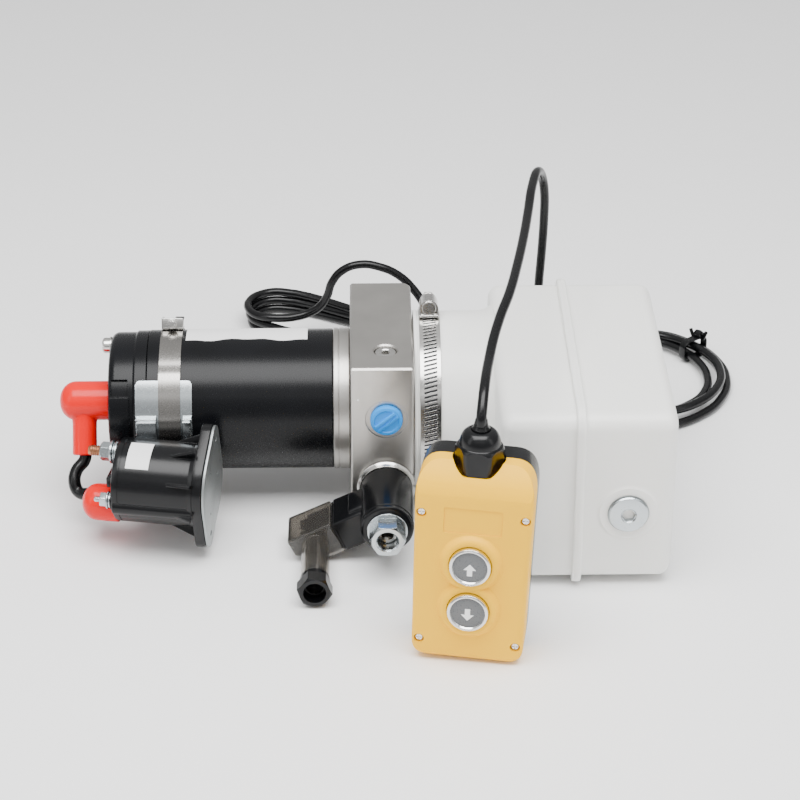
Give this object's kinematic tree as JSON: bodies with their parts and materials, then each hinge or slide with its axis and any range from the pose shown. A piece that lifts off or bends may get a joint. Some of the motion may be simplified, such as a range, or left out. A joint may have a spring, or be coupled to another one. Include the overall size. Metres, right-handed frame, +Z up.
{
  "type": "hydraulic power unit",
  "caption": "Compact electric hydraulic power unit with gear pump, manifold block, solenoid valve, plastic oil tank, start relay and a two-button pendant on a cord.",
  "frame": {"origin": "on the ground under the middle of the unit, the cord left out", "axes": "+X along the motor axis from the motor towards the tank, +Y away from the valve and pendant side, +Z up"},
  "size_m": [0.5596, 0.5686, 0.2408],
  "materials": {
    "black_paint": "satin black paint",
    "black_plastic": "moulded, slightly satin",
    "aluminium": "machined, fine matt grain",
    "steel": "bright plated",
    "zinc": "zinc plated, slightly dull",
    "copper": "bare copper, slightly dull",
    "bronze": "sintered bronze",
    "tank_plastic": "milky translucent polyethylene",
    "clear_plastic": "smoky transparent",
    "red_rubber": "glossy",
    "blue_plastic": "satin",
    "yellow_plastic": "fine texture, satin",
    "grey_plastic": "satin grey caps in bright bezels",
    "paper": "plain white sticker",
    "black_rubber": "smooth"
  },
  "bodies": {
    "unit": {"motor_casing": "black_paint", "motor_end_cap": "black_paint", "motor_flange": "aluminium", "through_bolt_upper": "steel", "through_bolt_lower": "steel", "rear_bearing": "bronze", "field_magnets": "black_paint", "brush_ring": "bronze", "motor_label": "paper", "manifold_block": "aluminium", "pump_body": "aluminium", "pump_cover": "aluminium", "suction_tube": "steel", "return_tube": "steel", "relief_screw": "steel", "port_plug": "blue_plastic", "neck_seal": "black_rubber", "valve_cartridge": "steel", "valve_coil": "black_plastic", "coil_nut": "zinc", "connector_housing": "clear_plastic", "connector_insert": "black_plastic", "connector_gland_nut": "black_plastic", "relay_body": "black_plastic", "relay_end_plate": "zinc", "relay_label": "paper", "relay_stud": "copper", "relay_nut": "zinc", "relay_coil_stud": "zinc", "relay_saddle": "zinc", "motor_strap": "steel", "strap_screw": "steel", "boot_motor": "red_rubber", "boot_relay": "red_rubber", "jumper_cable": "black_rubber", "oil_tank": "tank_plastic", "drain_plug": "zinc", "breather_cap": "black_plastic", "clamp_band": "steel", "clamp_screw": "steel", "pendant_front": "yellow_plastic", "pendant_back": "black_plastic", "switch_block": "black_plastic", "pendant_gland_nut": "black_plastic", "pendant_gland": "black_plastic", "cord_arch": "black_rubber", "cord_hank": "black_rubber", "cord_tail": "black_rubber", "cord_terminals": "copper"},
    "rotor": {"armature_shaft": "steel", "armature_core": "zinc", "commutator": "copper", "shaft_coupling": "steel", "drive_gear": "steel"},
    "driven_gear": {"driven_gear": "steel"},
    "valve_plunger": {"valve_plunger": "steel"},
    "relay_plunger": {"relay_plunger": "steel"},
    "button_up": {"button_up": "grey_plastic"},
    "button_down": {"button_down": "grey_plastic"}
  },
  "joints": [
    {"name": "rotor_spin", "type": "hinge", "parent": "unit", "child": "rotor", "pos_m": [0.0029, 0.08929, 0.078], "axis": [1, 0, 0], "continuous": true},
    {"name": "driven_gear_spin", "type": "hinge", "parent": "unit", "child": "driven_gear", "pos_m": [0.0529, 0.08929, 0.056], "axis": [1, 0, 0], "continuous": true},
    {"name": "valve_plunger_slide", "type": "slide", "parent": "unit", "child": "valve_plunger", "axis": [0, 1, 0], "range_m": [0, 0.003], "stiffness_N_per_m": 400},
    {"name": "relay_plunger_slide", "type": "slide", "parent": "unit", "child": "relay_plunger", "axis": [-0.9848, 0.1736, 0], "range_m": [0, 0.0018], "stiffness_N_per_m": 800},
    {"name": "button_up_press", "type": "slide", "parent": "unit", "child": "button_up", "axis": [0.1549, 0.9866, -0.0523], "range_m": [0, 0.004], "stiffness_N_per_m": 500},
    {"name": "button_down_press", "type": "slide", "parent": "unit", "child": "button_down", "axis": [0.1549, 0.9866, -0.0523], "range_m": [0, 0.004], "stiffness_N_per_m": 500}
  ],
  "couplings": [
    {"joint": "driven_gear_spin", "follows": "rotor_spin", "ratio": -1}
  ]
}
